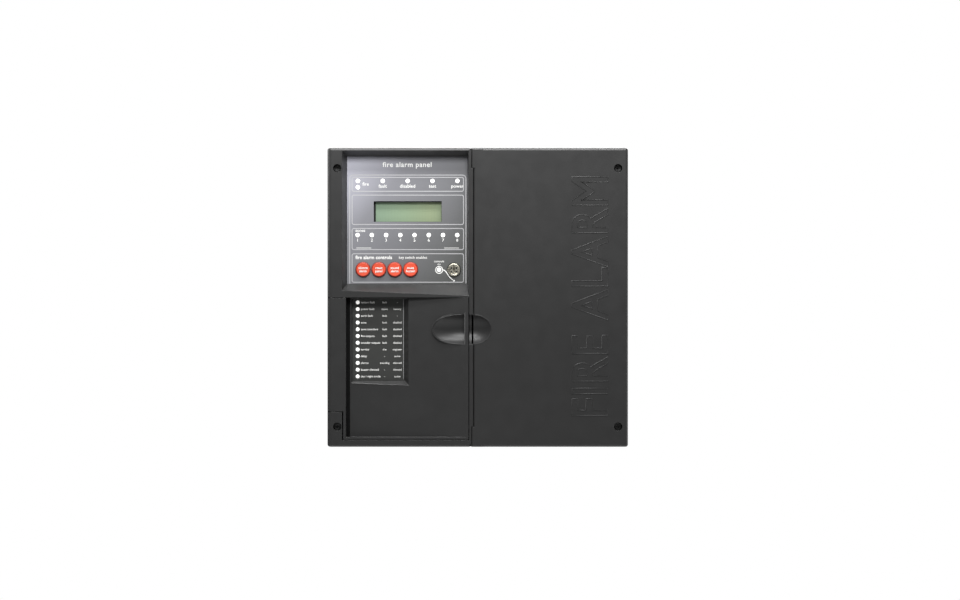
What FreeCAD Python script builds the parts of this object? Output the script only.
import FreeCAD, Part
import os
import re
import Sketcher

# Fire alarm control panel. Millimetres, +Z up, the front faces -Y.
# The origin is the centre of the rear face, where the panel meets the wall.

Vector = FreeCAD.Vector

# Driving dimensions. Each is written once and goes into the sheet under its name.
SIZES = {
    # casing
    "panel_width": 350, "panel_height": 348, "panel_depth": 110, "box_depth": 84,
    "wall": 3, "edge_round": 5, "running_gap": 0.3,
    "screw_inset_side": 11.5, "screw_inset_end": 23.6, "post_radius": 5.8, "screw_sink": 9,
    "sink_radius": 4.8, "shank_radius": 2, "head_radius": 3.9, "head_height": 3,
    # left front moulding
    "spine_right": -5.4, "spine_lip": 1.5, "spine_face": -7, "plate_sink": 14,
    "view_left": -152.8, "view_right": -11.8, "view_inset": 9.2, "view_height": 149.1,
    "flare_left": 5.2, "flare_top": 5.9, "flare_right": 1.3, "ledge_left": 7.6, "ledge_right": 13.7,
    "ledge_drop": 15.7,
    # service door and its bay
    "door_left": -156.5, "door_right": -10.7, "door_inset": 8.5,
    "door_rim": 3, "door_gap": 0.8, "door_swing_gap": 1.4,
    "door_face_left": -149, "door_sunk": 9, "door_flush": -14, "door_skin": 3,
    "rim_draft": 0.4, "groove_deep": 1.4,
    "strip_drop": 0.6, "strip_rise": 32.9, "door_axis_inset": 5, "pin_radius": 1.5,
    "pin_half": 8, "pin_play": 0.05,
    "window_left": -148.7, "window_right": -80, "window_drop": 0.9, "window_height": 102,
    "grip_drop": 36.9, "grip_half": 17.4, "grip_reach": 37.5,
    "grip_depth": 11, "grip_shell": 2, "pull_left": -15.5,
    # right cover
    "cover_left": -5.1, "ear_left": -7.2, "ear_height": 23.4, "cover_round": 3, "ear_round": 2,
    "cover_axis_x": 0.4, "cover_axis_behind": 2.5, "cover_pin_radius": 1.2,
    "scoop_reach": 24, "scoop_centre": -8,
    # display
    "overlay_thick": 0.3, "plate_thick": 3, "led_radius": 2.5, "status_drop": 28.7,
    "status_left": -140.1, "status_pitch": 29.1, "second_fire_drop": 7.4,
    "zone_drop": 92, "zone_left": -140.4, "zone_pitch": 16.64,
    "lcd_left": -121.5, "lcd_right": -42.1, "lcd_drop": 52.3, "lcd_height": 24.1,
    "button_radius": 8.65, "button_left": -134, "button_pitch": 18.5, "button_rise": 17,
    "key_across": -27.8, "key_rise": 16.5, "key_radius": 7.5,
    "key_led_across": -45.1, "display_board_back": 12, "board_thick": 1.6,
    # service panel
    "service_led_radius": 2.2, "service_led_left": -140.3, "service_led_drop": 3.8,
    "service_led_pitch": 7.87, "label_left": -146.4, "label_right": -86.2,
    "label_drop": 0.8, "label_height": 94.6, "keypad_radius": 5, "keypad_left": -66,
    "keypad_pitch": 16, "keypad_drop": 79.7,
    # inside the wall box
    "main_left": -164, "main_right": -14, "main_rise": 34, "main_inset": 82, "standoff": 12,
    "battery_long": 151, "battery_deep": 65, "battery_high": 94, "battery_left": 4,
    "battery_rib": 5, "supply_inset": 36, "supply_height": 86, "supply_deep": 48,
    "wall_hole_inset_side": 35, "wall_hole_inset_end": 49, "wall_hole_radius": 3,
    "knockout_radius": 10.2, "knockout_pitch": 34, "knockout_web": 1,
}

# Places that follow from the driving dimensions: the display hangs from the top edge, the door
# hangs from the display and stands on the bottom edge, and the rest lines up with those.
PLACES = {
    "screw_across": "panel_width / 2 - screw_inset_side",
    "screw_up": "panel_height / 2 - screw_inset_end",
    "wall_hole_across": "panel_width / 2 - wall_hole_inset_side",
    "wall_hole_up": "panel_height / 2 - wall_hole_inset_end",
    "ear_low": "panel_height / 2 - ear_height",
    "view_top": "panel_height / 2 - view_inset",
    "view_bottom": "view_top - view_height",
    "status_height": "view_top - status_drop",
    "zone_height": "view_top - zone_drop",
    "lcd_top": "view_top - lcd_drop",
    "lcd_bottom": "lcd_top - lcd_height",
    "button_height": "view_bottom + button_rise",
    "key_height": "view_bottom + key_rise",
    "ledge_low": "view_bottom - ledge_drop",
    "door_top": "ledge_low - running_gap",
    "door_bottom": "door_inset - panel_height / 2",
    "strip_top": "door_top - strip_drop",
    "strip_bottom": "door_bottom + strip_rise",
    "window_top": "door_top - window_drop",
    "window_bottom": "window_top - window_height",
    "label_top": "window_top - label_drop",
    "label_bottom": "label_top - label_height",
    "service_led_top": "label_top - service_led_drop",
    "keypad_height": "door_top - keypad_drop",
    "grip_centre": "door_top - grip_drop",
    "main_low": "main_rise - panel_height / 2",
    "main_high": "panel_height / 2 - main_inset",
    "supply_high": "panel_height / 2 - supply_inset",
    "supply_low": "supply_high - supply_height",
}


def make_sheet(document):
    """The driving dimensions as a sheet of named cells."""
    cells = document.addObject("Spreadsheet::Sheet", "dims")
    for row, (alias, number) in enumerate(SIZES.items(), start=1):
        cells.set(f"A{row}", alias.replace("_", " "))
        cells.set(f"B{row}", str(number))
        cells.setAlias(f"B{row}", alias)
    document.recompute()
    return cells


# The model has its own document. A second one with the same sheet works out single values.
sums = FreeCAD.newDocument("sums")
sums_sheet = make_sheet(sums)
doc = FreeCAD.newDocument("fire_panel")
sheet = make_sheet(doc)

SUB_PARTS = {}      # node name -> document object


WORD = re.compile(r"[a-z_]{3,}")


def spelled(text):
    """An expression with each place in it written out in driving dimensions."""
    return WORD.sub(lambda m: f"({spelled(PLACES[m[0]])})" if m[0] in PLACES else m[0], str(text))


def bound(text):
    """Turn the names in an expression into references to the sheet."""
    return WORD.sub(lambda m: "dims." + m[0] if m[0] in SIZES else m[0], spelled(text))


def value(text):
    """The number that an expression of size names stands for, for Part's own functions."""
    sums_sheet.set("D1", f"={spelled(text)}")
    sums.recompute()
    return float(sums_sheet.get("D1"))


def node(name, shape):
    """Register an object as the finished sub-part of that name."""
    shape.Label = name
    SUB_PARTS[name] = shape
    return shape


def box(x, y, z):
    """A block between two limits along each axis, every limit an expression."""
    block = doc.addObject("Part::Box", "block")
    for side, place, (low, high) in zip(("Length", "Width", "Height"), "xyz", (x, y, z)):
        block.setExpression(side, bound(f"({high}) - ({low})"))
        block.setExpression(f"Placement.Base.{place}", bound(low))
    return block


TURNS = {"x": FreeCAD.Rotation(Vector(0, 1, 0), 90), "y": FreeCAD.Rotation(Vector(1, 0, 0), -90),
         "z": FreeCAD.Rotation()}


def rod(radius, along, span, across):
    """A cylinder along x, y or z from span[0] to span[1], centred at the other two coordinates."""
    cylinder = doc.addObject("Part::Cylinder", "rod")
    cylinder.Placement.Rotation = TURNS[along]
    cylinder.setExpression("Radius", bound(radius))
    cylinder.setExpression("Height", bound(f"({span[1]}) - ({span[0]})"))
    places = dict(zip([a for a in "xyz" if a != along], across))
    places[along] = span[0]
    for axis, place in places.items():
        cylinder.setExpression(f"Placement.Base.{axis}", bound(place))
    return cylinder


def flared(y, front, back):
    """A block whose rectangle at y[0] (front) grows or shrinks to the one at y[1] (back)."""
    wedge = doc.addObject("Part::Wedge", "flared")
    limits = {"Ymin": y[0], "Ymax": y[1], "Xmin": front[0], "Xmax": front[1], "Zmin": front[2],
              "Zmax": front[3], "X2min": back[0], "X2max": back[1], "Z2min": back[2], "Z2max": back[3]}
    for name, text in limits.items():
        wedge.setExpression(name, bound(text))
    return wedge


def joined(*pieces):
    pieces = list(pieces)
    if len(pieces) == 1:
        return pieces[0]
    union = doc.addObject("Part::MultiFuse", "joined")
    union.Shapes = pieces
    return union


def less(base, *tools):
    cut = doc.addObject("Part::Cut", "less")
    cut.Base, cut.Tool = base, joined(*tools)
    return cut


def shared(first, second):
    common = doc.addObject("Part::Common", "shared")
    common.Base, common.Tool = first, second
    return common


def group(*pieces):
    """Separate solids of one kind kept together in one sub-part."""
    compound = doc.addObject("Part::Compound", "group")
    compound.Links = list(pieces)
    return compound


def rounded(base, size, keep):
    """Fillet the edges whose middle point passes the test keep(x, y, z)."""
    doc.recompute()
    radius = value(size)
    fillet = doc.addObject("Part::Fillet", "rounded")
    fillet.Base = base
    chosen = []
    for number, edge in enumerate(base.Shape.Edges, start=1):
        middle = edge.valueAt((edge.FirstParameter + edge.LastParameter) / 2)
        if keep(middle.x, middle.y, middle.z):
            chosen.append((number, radius, radius))
    fillet.Edges = chosen
    return fillet


def profile(name, points, plane, span):
    """A body padded along the plane's normal from a closed outline of (expression, expression)."""
    body = doc.addObject("PartDesign::Body", name)
    sketch = body.newObject("Sketcher::SketchObject", name + "_outline")
    role = {"xy": "XY_Plane", "xz": "XZ_Plane"}[plane]
    origin_plane = [f for f in body.Origin.OriginFeatures if f.Role == role][0]
    sketch.AttachmentSupport = [(origin_plane, "")]
    sketch.MapMode = "FlatFace"
    places = [Vector(value(a), value(b), 0) for a, b in points]
    for index, start in enumerate(places):
        sketch.addGeometry(Part.LineSegment(start, places[(index + 1) % len(places)]), False)
    for index in range(len(places)):
        sketch.addConstraint(Sketcher.Constraint("Coincident", index, 2, (index + 1) % len(places), 1))
    for index, texts in enumerate(points):
        for kind, text in zip(("DistanceX", "DistanceY"), texts):
            number = sketch.addConstraint(Sketcher.Constraint(kind, -1, 1, index, 1, value(text)))
            sketch.setExpression(f"Constraints[{number}]", bound(text))
    pad = body.newObject("PartDesign::Pad", name + "_pad")
    pad.Profile = sketch
    pad.setExpression("Length", bound(f"({span[1]}) - ({span[0]})"))
    sketch.AttachmentOffset.Base = Vector(0, 0, 0)
    sketch.setExpression("AttachmentOffset.Base.z", bound(span[0]))
    return body


def at(point, signs=(-1, 1)):
    """The four corners (sx * x, sz * z) of a pattern centred on the origin."""
    across, up = point
    return [(f"{sx} * {across}", f"{sz} * {up}") for sx in signs for sz in signs]


SIDE, TOP = "panel_width / 2", "panel_height / 2"
FRONT, SEAM = "-panel_depth", "-box_depth"
SKIN_BACK = f"({FRONT}) + wall"
INSIDE, INSIDE_TOP = f"({SIDE} - wall)", f"({TOP} - wall)"
CORNERS = at(("screw_across", "screw_up"))
LEFT_CORNERS, RIGHT_CORNERS = CORNERS[:2], CORNERS[2:]


# ---- wall box: a moulded tray with corner posts, wall holes and cable knock-outs ----

def make_back_box():
    shell = less(box((f"-{SIDE}", SIDE), (SEAM, 0), (f"-{TOP}", TOP)),
                 box((f"-{INSIDE}", INSIDE), (f"{SEAM} - 1", "-wall"), (f"-{INSIDE_TOP}", INSIDE_TOP)))
    posts = [rod("post_radius", "y", (SEAM, "-wall / 2"), corner) for corner in CORNERS]
    ribs = [box((f"battery_left + {share} * battery_long - 2",
                 f"battery_left + {share} * battery_long + 2"),
                ("-battery_rib", "-wall / 2"), (f"-{INSIDE_TOP} - wall / 2",
                                                f"battery_high - {TOP} + wall"))
            for share in (0.12, 0.5, 0.88)]
    body = joined(shell, *posts, *ribs)
    fixed = [rod("shank_radius - 0.25", "y", (f"{SEAM} - 1", f"{SEAM} + 22"), c) for c in LEFT_CORNERS]
    mouths = [rod("shank_radius + 2.4", "y", (f"{SEAM} - 1", f"{SEAM} + 7"), c) for c in RIGHT_CORNERS]
    wall_holes = [rod("wall_hole_radius", "y", ("-wall - 1", 1), corner)
                  for corner in at(("wall_hole_across", "wall_hole_up"))]
    knockouts = [rod("knockout_radius", "z", (f"{INSIDE_TOP} + knockout_web", f"{TOP} + 1"),
                     (f"knockout_pitch * {step}", f"{SEAM} / 2")) for step in (-4, -3, -2, -1, 1, 2,
                                                                               3, 4)]
    return node("back_box", less(body, *fixed, *mouths, *wall_holes, *knockouts))


# ---- left front moulding: display frame, ledge, door bay, spine and the cover's hinge arms ----

DOOR_AXIS_X, DOOR_AXIS_Y = f"(door_axis_inset - {SIDE})", f"({FRONT} + door_axis_inset)"
COVER_AXIS_Y = f"({SKIN_BACK} + cover_axis_behind)"
PLATE_FRONT = f"({FRONT} + plate_sink + overlay_thick)"


def screw_wells(corners):
    """Counterbored holes for the recessed corner screws."""
    wells = [rod("sink_radius", "y", (f"{FRONT} - 1", f"{FRONT} + screw_sink"), c) for c in corners]
    wells += [rod("shank_radius + 0.3", "y", (FRONT, f"{SEAM} + 1"), c) for c in corners]
    return wells


def ledge_cut():
    """The sloped ledge's open front: its lip runs a little lower at the right."""
    front, back = value(f"{FRONT} - 0.01"), value(f"{FRONT} + plate_sink")
    high = value("view_bottom + 8")
    left, right = value("view_left - flare_left"), value("view_right + flare_right")
    low = value("view_bottom")
    lip = Part.makePolygon([Vector(left, front, low - value("ledge_left")),
                            Vector(right, front, low - value("ledge_right")),
                            Vector(right, front, high), Vector(left, front, high),
                            Vector(left, front, low - value("ledge_left"))])
    inner_left, inner_right = value("view_left"), value("view_right")
    foot = Part.makePolygon([Vector(inner_left, back, low), Vector(inner_right, back, low),
                             Vector(inner_right, back, high), Vector(inner_left, back, high),
                             Vector(inner_left, back, low)])
    cut = doc.addObject("Part::Feature", "ledge_cut")
    cut.Shape = Part.makeLoft([lip, foot], True, True)
    return cut


def scoop(side_limits, reach, depth, half, centre, start="-1"):
    """A finger scoop kept between two x limits: an arc across its height, turned about an upright
    axis in front of the face, so that it is deepest at x = centre and runs out at reach."""
    reach, depth, half = value(reach), value(depth), value(half)
    stand_off = (reach ** 2 - depth ** 2) / (2 * depth)
    tube = (depth ** 2 + half ** 2) / (2 * depth)
    far = stand_off + depth
    near = stand_off - 2
    edge = (tube ** 2 - (near - far + tube) ** 2) ** 0.5
    low, high = Vector(near, 0, -edge), Vector(near, 0, edge)
    section = Part.Wire([Part.Arc(low, Vector(far, 0, 0), high).toShape(), Part.makeLine(high, low)])
    turned = doc.addObject("Part::Feature", "scoop")
    turned.Shape = Part.Face(section).revolve(Vector(), Vector(0, 0, 1), 180)
    turned.Placement.Base = Vector(value(centre), value(FRONT) - stand_off, value("grip_centre"))
    return shared(turned, box(side_limits, (f"{FRONT} + {start}", f"{FRONT} + 20"),
                              ("grip_centre - 40", "grip_centre + 40")))


def hinge_arm(way):
    """An arm from the spine that carries one of the right cover's hinge pins; way is 1 or -1."""
    low, high = ("ear_low + 13", "ear_low + 18") if way > 0 else ("-ear_low - 18", "-ear_low - 13")
    root = box(("spine_face - wall", "cover_axis_x + 5"), (f"{COVER_AXIS_Y} + 8.5", SEAM), (low, high))
    reach = box(("cover_axis_x - 0.2", "cover_axis_x + 5"), (COVER_AXIS_Y, f"{COVER_AXIS_Y} + 9"),
                (low, high))
    return joined(root, reach, rod("cover_pin_radius + 1", "z", (low, high),
                                   ("cover_axis_x", COVER_AXIS_Y)))


def make_fascia():
    outer = box((f"-{SIDE}", "spine_face"), (FRONT, SEAM), (f"-{TOP}", TOP))
    side, top, front = value(SIDE), value(TOP), value(FRONT)
    outer = rounded(outer, "edge_round", lambda x, y, z: x < 1 - side and abs(z) < 1 and y < front + 1)
    outer = rounded(outer, "cover_round",
                    lambda x, y, z: abs(abs(z) - top) < 0.1 and y < front + 0.1)
    hollow = box((f"-{INSIDE}", "spine_face - wall"), (SKIN_BACK, f"{SEAM} + 1"),
                 (f"-{INSIDE_TOP}", INSIDE_TOP))
    display_frame = box(("view_left - flare_left - wall", "spine_face - 1"),
                        (f"{SKIN_BACK} - 1", PLATE_FRONT),
                        ("ledge_low - wall", f"{INSIDE_TOP} + 1"))
    bay_frame = box(("door_left - door_swing_gap - wall", "spine_face - 1"),
                    (f"{SKIN_BACK} - 1", PLATE_FRONT),
                    ("door_bottom - door_gap - wall", "ledge_low"))
    hinge_block = box((f"-{SIDE} + wall / 2", "door_left - 1"),
                      (f"{SKIN_BACK} - 1", f"{DOOR_AXIS_Y} + 8.5"),
                      ("strip_bottom - pin_half - 1.6", "strip_top + pin_half + 1.6"))
    posts = [rod("post_radius", "y", (f"{FRONT} + wall / 2", SEAM), corner) for corner in LEFT_CORNERS]
    lip = box(("spine_face - 1", "spine_right"), (FRONT, f"{FRONT} + spine_lip"),
              ("-ear_low + running_gap", "ear_low - running_gap"))
    shelf = [box(("spine_face - 1", "cover_axis_x - running_gap"), (f"{COVER_AXIS_Y} + 8.5", SEAM),
                 limits)
             for limits in ((INSIDE_TOP, TOP), (f"-{TOP}", f"-{INSIDE_TOP}"))]
    body = joined(less(outer, hollow), display_frame, bay_frame, hinge_block, *posts, lip, *shelf,
                  hinge_arm(1), hinge_arm(-1))
    depth = (f"{FRONT} - 0.02", f"{FRONT} + plate_sink")
    view = ("view_left", "view_right", "view_bottom", "view_top")
    recess = flared(depth, ("view_left - flare_left", "view_right + flare_right", "view_bottom",
                            "view_top + flare_top"), view)
    through = box(view[:2], (f"{FRONT} + plate_sink - 0.1", f"{PLATE_FRONT} + 1"), view[2:])
    bay = box(("door_left - door_swing_gap", "door_right + door_gap"),
              (f"{FRONT} - 1", f"{PLATE_FRONT} + 1"),
              ("door_bottom - door_gap", "ledge_low"))
    strip_span = ("strip_bottom - door_gap", "strip_top + door_gap")
    over_axis = box((f"-{SIDE} - 1", "door_left"), (f"{FRONT} - 1", f"{SKIN_BACK} + running_gap"),
                    strip_span)
    barrel = rod("door_axis_inset + door_gap / 2", "z", strip_span, (DOOR_AXIS_X, DOOR_AXIS_Y))
    left_of_axis = box((f"-{SIDE} - 1", DOOR_AXIS_X), (f"{FRONT} - 1", DOOR_AXIS_Y), strip_span)
    door_pins = [rod("pin_radius", "z", span, (DOOR_AXIS_X, DOOR_AXIS_Y)) for span in door_pin_spans()]
    cover_pins = [rod("cover_pin_radius", "z", span, ("cover_axis_x", COVER_AXIS_Y))
                  for span in cover_pin_spans()]
    ear_room = [box(("ear_left - 2.2", "cover_axis_x"), (f"{FRONT} - 1", f"{COVER_AXIS_Y} + 5"), limits)
                for limits in (("ear_low", f"{TOP} + 1"), (f"-{TOP} - 1", "-ear_low"))]
    ear_lip = [box(("ear_left - 2.3", "ear_left - running_gap"), (FRONT, f"{FRONT} + spine_lip"), limits)
               for limits in (("ear_low", INSIDE_TOP), (f"-{INSIDE_TOP}", "-ear_low"))]
    spine_scoop = scoop(("door_right - 1", "cover_left + 1"), "scoop_reach", "grip_depth", "grip_half",
                        "scoop_centre")
    body = less(body, recess, ledge_cut(), through, bay, over_axis, left_of_axis, barrel, spine_scoop,
                *ear_room, *screw_wells(LEFT_CORNERS))
    return node("fascia", less(joined(body, *ear_lip), *door_pins, *cover_pins))


def door_pin_spans():
    return [("strip_top - pin_half", "strip_top + pin_half"),
            ("strip_bottom - pin_half", "strip_bottom + pin_half")]


def cover_pin_spans():
    return [("ear_low + 12.5", f"{TOP} - 1.5"), (f"-{TOP} + 1.5", "-ear_low - 12.5")]


# ---- service door: a sloped skin with a rim, a bevelled window, a pull bar and a hinge barrel ----

def make_service_door():
    skin_back = f"{FRONT} + door_skin"
    outline = [("door_left", FRONT), ("door_left + door_rim", FRONT),
               ("door_left + door_rim + rim_draft", f"{FRONT} + door_sunk + groove_deep"),
               ("door_face_left", f"{FRONT} + door_sunk + groove_deep"),
               ("door_face_left", f"{FRONT} + door_sunk"),
               ("door_flush", FRONT), ("door_right", FRONT), ("door_right", skin_back),
               ("door_flush", skin_back), ("door_face_left", f"{skin_back} + door_sunk"),
               ("door_left", f"{skin_back} + door_sunk")]
    skin = profile("door_skin_body", outline, "xy", ("door_bottom", "door_top"))
    doc.recompute()
    wrap = doc.addObject("Part::Compound", "door_skin_wrap")
    wrap.Links = [skin]
    rim = box(("door_left", "door_flush"), (FRONT, f"{FRONT} + plate_sink - 1"),
              ("door_bottom", "door_bottom + door_rim"))
    wall_ends = ("door_face_left - 3", "window_right + 2.5")
    wall_front = [f"{skin_back} - 1 + door_sunk * (door_flush - ({end})) / (door_flush - door_face_left)"
                  for end in wall_ends]
    wall_back = f"{FRONT} + plate_sink - 1"
    window_body = profile("door_window_body", [(wall_ends[0], wall_front[0]), (wall_ends[1], wall_front[1]),
                                               (wall_ends[1], wall_back), (wall_ends[0], wall_back)],
                          "xy", ("window_bottom - 2.5", "door_top"))
    doc.recompute()
    window_wall = doc.addObject("Part::Compound", "window_wall")
    window_wall.Links = [window_body]
    shell = scoop(("-60", "pull_left + 1"), "grip_reach + grip_shell", "grip_depth + grip_shell",
                  "grip_half + grip_shell", "pull_left", start="1")
    bar = box(("pull_left", "door_right"), (FRONT, f"{FRONT} + grip_depth + grip_shell"),
              ("grip_centre - grip_half - 2", "grip_centre + grip_half + 2"))
    barrel = rod("door_axis_inset", "z", ("strip_bottom", "strip_top"), (DOOR_AXIS_X, DOOR_AXIS_Y))
    leaf = box((DOOR_AXIS_X, "door_left + 1"), (FRONT, SKIN_BACK), ("strip_bottom", "strip_top"))
    body = joined(wrap, rim, window_wall, shell, bar, barrel, leaf)
    window = flared((f"{FRONT} - 0.1", f"{FRONT} + plate_sink"),
                    ("window_left", "window_right + 2", "window_bottom - 2", "window_top + 0.4"),
                    ("label_left", "label_right", "label_bottom - 0.4", "label_top"))
    hollow = scoop(("-60", "pull_left"), "grip_reach", "grip_depth", "grip_half", "pull_left")
    pins = [rod("pin_radius + pin_play", "z", (low + " - 0.5" if edge < 0 else low,
                                               high if edge < 0 else high + " + 0.5"),
                (DOOR_AXIS_X, DOOR_AXIS_Y)) for edge, (low, high) in zip((-1, 1), door_pin_spans())]
    return node("service_door", less(body, window, hollow, *pins))


# ---- right cover: a large shell with ears, hinge lugs, a half scoop and fastener posts ----

def make_right_cover():
    side, top, front = value(SIDE), value(TOP), value(FRONT)
    outer = box(("cover_left", SIDE), (FRONT, f"{SEAM}"), (f"-{TOP}", TOP))
    outer = rounded(outer, "cover_round", lambda x, y,
                    z: y < front + 0.1 or (x > side - 0.1 and abs(abs(z) - top) < 0.1))
    hollow = box(("cover_left - 1", INSIDE), (SKIN_BACK, f"{SEAM} + 1"), (f"-{INSIDE_TOP}", INSIDE_TOP))
    relief = box(("cover_left - 1", "cover_axis_x"), (f"{SKIN_BACK} + 0.1", f"{SEAM} + 1"),
                 (f"-{TOP} - 1", f"{TOP} + 1"))
    ears = []
    for low, high in (("ear_low + running_gap", TOP), (f"-{TOP}", "-ear_low - running_gap")):
        ear = box(("ear_left", "cover_axis_x + 6"), (FRONT, SKIN_BACK), (low, high))
        left = value("ear_left")
        ears.append(rounded(ear, "ear_round", lambda x, y, z: y < front + 0.1 and
                            (x < left + 0.1 or abs(abs(z) - top) < 0.1)))
    lugs = [box(("cover_axis_x - 2.4", "cover_axis_x + 6"),
                (f"{SKIN_BACK} - 1", f"{COVER_AXIS_Y} + 3"), limits)
            for limits in (("ear_low + 18.3", f"{TOP} - 1"), (f"-{TOP} + 1", "-ear_low - 18.3"))]
    bulge = scoop(("cover_left", "cover_left + 40"), "scoop_reach + grip_shell",
                  "grip_depth + grip_shell",
                  "grip_half + grip_shell", "scoop_centre", start="1")
    posts = [rod("post_radius", "y", (f"{FRONT} + wall / 2", SEAM), corner) for corner in RIGHT_CORNERS]
    body = joined(less(outer, hollow, relief), *ears, *lugs, bulge, *posts)
    pins = [rod("cover_pin_radius + pin_play", "z", (low if way > 0 else f"{low} - 0.05",
                                                     f"{high} + 0.05" if way > 0 else high),
                ("cover_axis_x", COVER_AXIS_Y)) for way, (low, high) in zip((1, -1), cover_pin_spans())]
    dent = scoop(("cover_left - 3", "cover_left + 40"), "scoop_reach", "grip_depth", "grip_half",
                 "scoop_centre")
    return node("right_cover", less(body, dent, *pins, *screw_wells(RIGHT_CORNERS)))


def make_hinge_pins():
    node("door_hinge_pins", group(*[rod("pin_radius", "z", span, (DOOR_AXIS_X, DOOR_AXIS_Y))
                                    for span in door_pin_spans()]))
    node("cover_hinge_pins", group(*[rod("cover_pin_radius", "z", span, ("cover_axis_x", COVER_AXIS_Y))
                                     for span in cover_pin_spans()]))


def make_corner_screws():
    """Cross-head screws: the left pair holds the fascia, the right pair stays captive in the cover."""
    for name, corners, reach in (("fascia_screws", LEFT_CORNERS, "16"),
                                 ("cover_screws", RIGHT_CORNERS, "4")):
        screws = []
        for corner in corners:
            across, up = corner
            seat = f"({FRONT} + screw_sink)"
            head = rod("head_radius", "y", (f"{seat} - head_height", seat), corner)
            shank = rod("shank_radius" if reach == "4" else "shank_radius - 0.25", "y",
                        (f"{seat} - 0.5", f"{SEAM} + {reach}"), corner)
            slots = [box((f"{across} - {half_x}", f"{across} + {half_x}"),
                         (f"{seat} - head_height - 1", f"{seat} - 1.3"),
                         (f"{up} - {half_z}", f"{up} + {half_z}")) for half_x,
                         half_z in ((2.4, 0.5), (0.5, 2.4))]
            screws.append(less(joined(head, shank), *slots))
        node(name, group(*screws))


# ---- display panel: plate, printed skin, character display, lights, buttons and key switch ----

SKIN_FRONT, PLATE_BACK = f"({FRONT} + plate_sink)", f"({PLATE_FRONT} + plate_thick)"
BOARD_FRONT = f"({PLATE_BACK} + display_board_back)"
BOARD_BACK = f"({BOARD_FRONT} + board_thick)"
LIGHTS = {
    "status_leds": [(f"status_left + {i} * status_pitch", "status_height") for i in range(5)]
                   + [("status_left", "status_height - second_fire_drop")],
    "zone_leds": [(f"zone_left + {i} * zone_pitch", "zone_height") for i in range(8)],
    "key_led": [("key_led_across", "key_height")],
}
SERVICE_LIGHTS = [("service_led_left", f"service_led_top - {i} * service_led_pitch") for i in range(12)]
BUTTONS = [(f"button_left + {i} * button_pitch", "button_height") for i in range(4)]
KEYPAD = [(f"keypad_left + {i} * keypad_pitch", "keypad_height") for i in range(4)]
KEY = ("key_across", "key_height")
LCD = (("lcd_left", "lcd_right"), ("lcd_bottom", "lcd_top"))


def wider(limits, by):
    return f"{limits[0]} - {by}", f"{limits[1]} + {by}"


def panel_holes(front, back, with_lcd):
    span = (f"{front} - 1", f"{back} + 1")
    holes = [rod("led_radius + 0.05", "y", span, place) for places in LIGHTS.values() for place in places]
    holes += [rod("button_radius + running_gap", "y", span, place) for place in BUTTONS]
    holes.append(rod("key_radius - 1.4", "y", span, KEY))
    if with_lcd:
        holes.append(box(LCD[0], span, LCD[1]))
    return holes


def make_display_plate():
    plate = box(("view_left - 3", "spine_face - wall - 0.2"), (PLATE_FRONT, PLATE_BACK),
                ("view_bottom - 3", "view_top + 3"))
    node("display_plate", less(plate, *panel_holes(PLATE_FRONT, PLATE_BACK, True)))
    skin = box(wider(("view_left", "view_right"), "(-0.15)"), (SKIN_FRONT, PLATE_FRONT),
               wider(("view_bottom", "view_top"), "(-0.15)"))
    node("display_overlay", less(skin, *panel_holes(SKIN_FRONT, PLATE_FRONT, True)))


def make_lcd():
    bezel_front, bezel_back = PLATE_BACK, f"({PLATE_BACK} + 6)"
    bezel = less(box(wider(LCD[0], 8), (bezel_front, bezel_back), wider(LCD[1], 8)),
                 box(wider(LCD[0], 1), (f"{bezel_front} - 1", f"{bezel_front} + 1.5"), wider(LCD[1], 1)),
                 box(wider(LCD[0], 4), (f"{bezel_front} + 1.5", f"{bezel_back} + 1"), wider(LCD[1], 4)))
    node("lcd_bezel", bezel)
    node("lcd_glass", box(wider(LCD[0], 3.9), (f"{bezel_front} + 1.5", f"{bezel_front} + 3.7"),
                          wider(LCD[1], 3.9)))
    node("lcd_board", box(wider(LCD[0], 9), (bezel_back, f"{bezel_back} + board_thick"),
                          wider(LCD[1], 14)))


def light(radius, place, front, back):
    """A light: a short flanged barrel with a domed front, standing on its board."""
    across, up = place
    barrel = rod(f"{radius} - 0.02", "y", (f"{front} - 0.2", f"{front} + 8"), place)
    flange = rod(f"{radius} + 0.4", "y", (f"{front} + 4.5", f"{front} + 6"), place)
    legs = [box((f"{across} + {side} - 0.25", f"{across} + {side} + 0.25"), (f"{front} + 7.5", back),
                (f"{up} - 0.25", f"{up} + 0.25")) for side in (-1.27, 1.27)]
    return joined(barrel, flange, *legs)


def make_lights():
    for name, places in LIGHTS.items():
        node(name, group(*[light("led_radius", place, SKIN_FRONT, BOARD_FRONT) for place in places]))
    node("service_leds", group(*[light("service_led_radius", place, SKIN_FRONT, BOARD_FRONT)
                                 for place in SERVICE_LIGHTS]))


def make_button(index, place):
    """A round cap with a rounded rim, a retaining flange behind the plate and a stem to its switch."""
    front = f"({SKIN_FRONT} - 2.2)"
    cap = rod("button_radius", "y", (front, f"{PLATE_BACK} + 2"), place)
    cap = rounded(cap, "0.8", lambda x, y, z: y < value(front) + 0.1 and abs(x - value(place[0])) > 1)
    flange = rod("button_radius + 0.45", "y", (f"{PLATE_BACK} + 0.3", f"{PLATE_BACK} + 1.5"), place)
    stem = rod("1.6", "y", (f"{PLATE_BACK} + 1.5", f"{BOARD_FRONT} - 4.3 - running_gap - 0.5"), place)
    node(f"control_button_{index}", joined(cap, flange, stem))


def make_switches():
    pieces = []
    for across, up in BUTTONS + KEYPAD:
        case = box(wider((across, across), 3), (f"{BOARD_FRONT} - 2.5", BOARD_FRONT), wider((up, up), 3))
        pieces.append(case)
    node("button_switches", group(*pieces[:4]))
    node("keypad_switches", group(*pieces[4:]))


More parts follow.
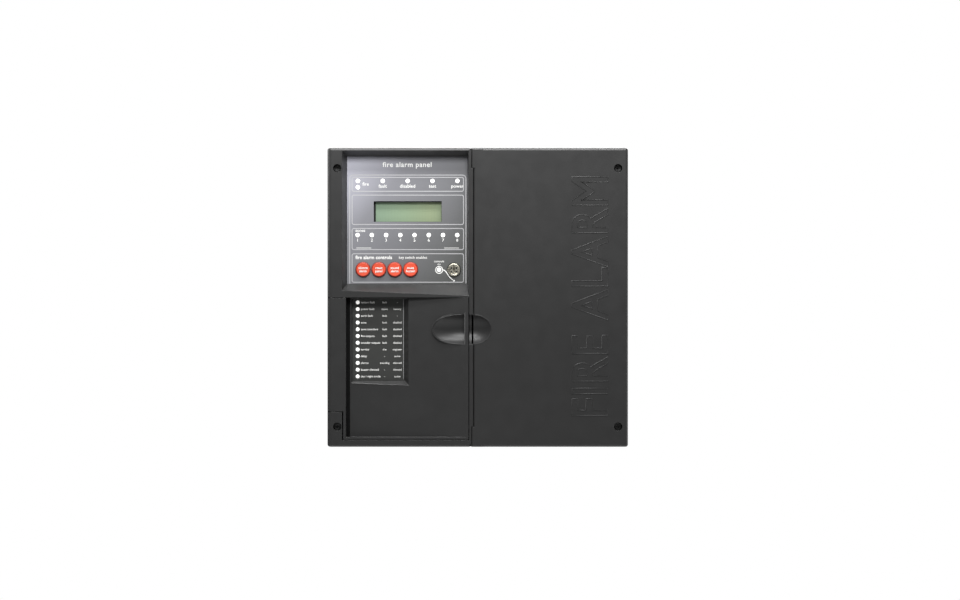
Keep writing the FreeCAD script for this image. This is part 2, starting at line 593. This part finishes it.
def make_key_switch():
    face = f"({SKIN_FRONT} - 2)"
    head = joined(rod("key_radius", "y", (face, SKIN_FRONT), KEY),
                  rod("key_radius - 1.5", "y", (f"{SKIN_FRONT} - 0.5", f"{BOARD_FRONT} - 1"), KEY))
    head = less(head, rod("key_radius - 2.5", "y", (f"{face} - 1", f"{face} + 9"), KEY))
    node("key_barrel", head)
    plug = rod("key_radius - 2.55", "y", (f"{face} + 0.6", f"{face} + 8.9"), KEY)
    across, up = KEY
    slot = box(wider((across, across), 0.9), (f"{face} - 1", f"{face} + 5"), wider((up, up), 3.4))
    node("key_plug", less(plug, slot))
    nut = rod("key_radius + 1.5", "y", (f"{PLATE_BACK} + 0.02", f"{PLATE_BACK} + 2.6"), KEY)
    node("key_nut", less(nut, rod("key_radius - 1.48", "y", (PLATE_BACK, f"{PLATE_BACK} + 4"), KEY)))


def make_display_board():
    board = box(("view_left + 2", "view_right - 0.5"), (BOARD_FRONT, BOARD_BACK),
                ("view_bottom + 1", "view_top - 4"))
    node("display_board", board)
    chips = [box((f"view_left + {x}", f"view_left + {x} + {w}"), (BOARD_BACK, f"{BOARD_BACK} + 2.2"),
                 (f"view_bottom + {z}", f"view_bottom + {z} + {t}"))
             for x, z, w, t in ((20, 60, 14, 14), (60, 62, 22, 8), (96, 60, 16, 10), (22, 100, 40, 9))]
    node("display_board_parts", group(*chips))


# ---- service panel behind the door's window: plate, print, lights and engineer keys ----

def make_service_panel():
    edge = (("door_left - door_swing_gap - 2", "spine_face - wall - 0.4"), ("door_bottom - 2", "door_top"))
    holes = [rod("service_led_radius + 0.05", "y", (f"{PLATE_FRONT} - 1", f"{PLATE_BACK} + 1"), place)
             for place in SERVICE_LIGHTS]
    holes += [rod("keypad_radius + running_gap", "y", (f"{PLATE_FRONT} - 1", f"{PLATE_BACK} + 1"), place)
              for place in KEYPAD]
    holes.append(rod("post_radius + running_gap", "y", (f"{PLATE_FRONT} - 1", f"{PLATE_BACK} + 1"),
                     LEFT_CORNERS[0]))
    node("service_plate", less(box(edge[0], (PLATE_FRONT, PLATE_BACK), edge[1]), *holes))
    label = box(("label_left - 1", "label_right + 1"), (SKIN_FRONT, PLATE_FRONT),
                ("label_bottom - 1", "label_top + 0.5"))
    cuts = [rod("service_led_radius + 0.05", "y", (f"{SKIN_FRONT} - 1", f"{PLATE_FRONT} + 1"), place)
            for place in SERVICE_LIGHTS]
    node("service_label", less(label, *cuts))
    for index, place in enumerate(KEYPAD, start=1):
        cap = rod("keypad_radius", "y", (f"{PLATE_FRONT} - 1", f"{PLATE_BACK} + 2"), place)
        flange = rod("keypad_radius + 1.2", "y", (f"{PLATE_BACK} + 0.3", f"{PLATE_BACK} + 1.5"), place)
        stem = rod("1.6", "y", (f"{PLATE_BACK} + 1.5", f"{BOARD_FRONT} - 4.3 - running_gap - 0.5"), place)
        node(f"keypad_key_{index}", joined(cap, flange, stem))
    node("service_board", box(("door_left + 10", "door_right - 6"), (BOARD_FRONT, BOARD_BACK),
                              ("keypad_height - 30.5", "door_top - 2")))


# ---- inside the wall box: main board, supply and batteries ----

MAIN_FRONT = "(-wall - standoff - board_thick)"
MAIN_SCREWS = [(x, z) for x in ("main_left + 5", "main_right - 5")
               for z in ("main_low + 5", "main_high - 5")]


def on_main(x, z, wide, high, tall):
    """A block standing on the front of the main board, placed from the board's lower left corner."""
    return box((f"main_left + {x}", f"main_left + {x} + {wide}"), (f"{MAIN_FRONT} - {tall}", MAIN_FRONT),
               (f"main_low + {z}", f"main_low + {z} + {high}"))


def make_main_board():
    board = box(("main_left", "main_right"), (MAIN_FRONT, "-wall - standoff"), ("main_low", "main_high"))
    holes = [rod("1.7", "y", (f"{MAIN_FRONT} - 1", "-wall"), place) for place in MAIN_SCREWS]
    node("main_board", less(board, *holes))
    node("main_board_chips", group(on_main(62, 90, 24, 24, 3), on_main(30, 96, 12, 30, 3.5),
                                   on_main(104, 96, 10, 18, 2.6), on_main(66, 134, 16, 16, 2.6)))
    node("zone_relays", group(*[on_main(20 + 21 * i, 150, 15, 19, 15) for i in range(5)]))
    terminals = []
    for i in range(10):
        block = on_main(12 + 12.7 * i, 3 if i % 9 else 14, 12.2, 11, 13)
        across = f"main_left + {12 + 12.7 * i} + 6.1"
        up = f"main_low + {3 if i % 9 else 14} + 4"
        terminals.append(less(block, rod("2.1", "y", (f"{MAIN_FRONT} - 14", f"{MAIN_FRONT} - 7"),
                                         (across, up))))
    node("terminal_blocks", group(*terminals))
    node("board_fuses", group(*[rod("2.6", "z", (f"main_low + {200}", f"main_low + {222}"),
                                    (f"main_left + {24 + 12 * i}",
                                     f"{MAIN_FRONT} - 3")) for i in range(4)]))
    node("sounder_capsule", rod("11", "y", (f"{MAIN_FRONT} - 12", MAIN_FRONT),
                                ("main_left + 130", "main_low + 205")))
    posts, screws = [], []
    for place in MAIN_SCREWS:
        post = rod("3.5", "y", ("-wall - standoff", "-wall"), place)
        posts.append(less(post, rod("1.4", "y", ("-wall - standoff - 1", "-wall - 2"), place)))
        screws.append(joined(rod("2.8", "y", (f"{MAIN_FRONT} - 2", MAIN_FRONT), place),
                             rod("1.4", "y", (f"{MAIN_FRONT} - 0.5", "-wall - standoff + 6"), place)))
    node("board_standoffs", group(*posts))
    node("board_screws", group(*screws))


def make_supply():
    back = "-wall"
    across = ("battery_left", "battery_left + battery_long")
    case = box(across, (f"{back} - supply_deep", back), ("supply_low", "supply_high"))
    inner = box(wider(across, "(-1.5)"), (f"{back} - supply_deep + 1.5", f"{back} + 1"),
                wider(("supply_low", "supply_high"), "(-1.5)"))
    vents = [box((f"battery_left + {20 + 10 * i}", f"battery_left + {24 + 10 * i}"),
                 (f"{back} - supply_deep - 1", f"{back} - supply_deep + 3"),
                 ("supply_low + 30", "supply_high - 20"))
             for i in range(11)]
    node("power_supply_case", less(case, inner, *vents))
    node("transformer", box(("battery_left + 12", "battery_left + 66"),
                            (f"{back} - supply_deep + 6", back),
                            ("supply_low + 12", "supply_low + 60")))
    terminal = box(("battery_left + 90", "battery_left + 132"), (f"{back} - 18", back),
                   ("supply_high + 3", "supply_high + 19"))
    screws = [rod("2.6", "y", (f"{back} - 19", f"{back} - 11"),
                  (f"battery_left + {97 + 14 * i}", "supply_high + 11"))
              for i in range(3)]
    node("mains_terminal", less(terminal, *screws))
    node("mains_fuse_holder", joined(
        box(("battery_left + 60", "battery_left + 84"), (f"{back} - 14", back),
            ("supply_high + 4", "supply_high + 16")),
        rod("5", "x", ("battery_left + 56", "battery_left + 66"), (f"{back} - 8", "supply_high + 10"))))
    node("earth_stud", joined(
        rod("2", "y", (f"{back} - 16", back), ("battery_left + 40", "supply_high + 10")),
        rod("4", "y", (f"{back} - 8", f"{back} - 5"), ("battery_left + 40", "supply_high + 10")),
        rod("5", "y", (f"{back} - 5", f"{back} - 4"), ("battery_left + 40", "supply_high + 10"))))


def make_batteries():
    across = ("battery_left", "battery_left + battery_long")
    deep = ("-battery_rib - wall - battery_deep", "-battery_rib - wall")
    floor = f"(-{INSIDE_TOP} + wall / 2)"
    tabs = []
    for index, name in enumerate(("battery_lower", "battery_upper")):
        low = f"({floor} + {index} * (battery_high + 6.5))"
        case = box(across, deep, (low, f"{low} + battery_high"))
        node(name, rounded(case, "1.5", lambda x, y, z: True))
        top = f"({low} + battery_high)"
        for side in ("battery_left + 6", "battery_left + battery_long - 10.75"):
            tabs.append(box((side, f"{side} + 4.75"), ("-battery_rib - wall - battery_deep + 8",
                                                     "-battery_rib - wall - battery_deep + 14.3"),
                                                     (top, f"{top} + 5.5")))
    node("battery_terminals", group(*tabs))
    top = f"({floor} + 2 * battery_high + 6.5)"
    bar = box(wider(across, 2), (f"{deep[0]} - 2.2", f"{deep[0]} - 0.2"),
              (f"{floor} + battery_high - 4", f"{floor} + battery_high + 9"))
    legs = [box(limits, (f"{deep[0]} - 2.2", "-wall"),
                (f"{floor} + battery_high - 4", f"{floor} + battery_high + 9"))
            for limits in (("battery_left - 3.5", "battery_left - 0.5"),
                           ("battery_left + battery_long + 0.5", "battery_left + battery_long + 3.5"))]
    node("battery_bracket", joined(bar, *legs))
    node("battery_shelf", box(across, ("-battery_rib - wall - battery_deep + 18", "-wall"),
                              (f"{floor} + battery_high + 0.2", f"{floor} + battery_high + 6.3")))


for make in (make_back_box, make_fascia, make_service_door, make_right_cover, make_hinge_pins,
             make_corner_screws, make_display_plate, make_lcd, make_lights, make_switches,
             make_key_switch, make_display_board, make_service_panel, make_main_board, make_supply,
             make_batteries):
    make()
for number, spot in enumerate(BUTTONS, start=1):
    make_button(number, spot)


# ---- check and write ----

doc.recompute()
for item in doc.Objects:
    if {"Invalid", "Error"} & set(item.State):
        raise RuntimeError(f"{item.Label} did not build: {item.State}")
os.makedirs("parts", exist_ok=True)
for name, item in SUB_PARTS.items():
    if item.Shape.isNull() or not item.Shape.isValid() or not item.Shape.Solids:
        raise RuntimeError(f"{name} is not a valid solid")
    item.Shape.exportStep(f"parts/{name}.step")
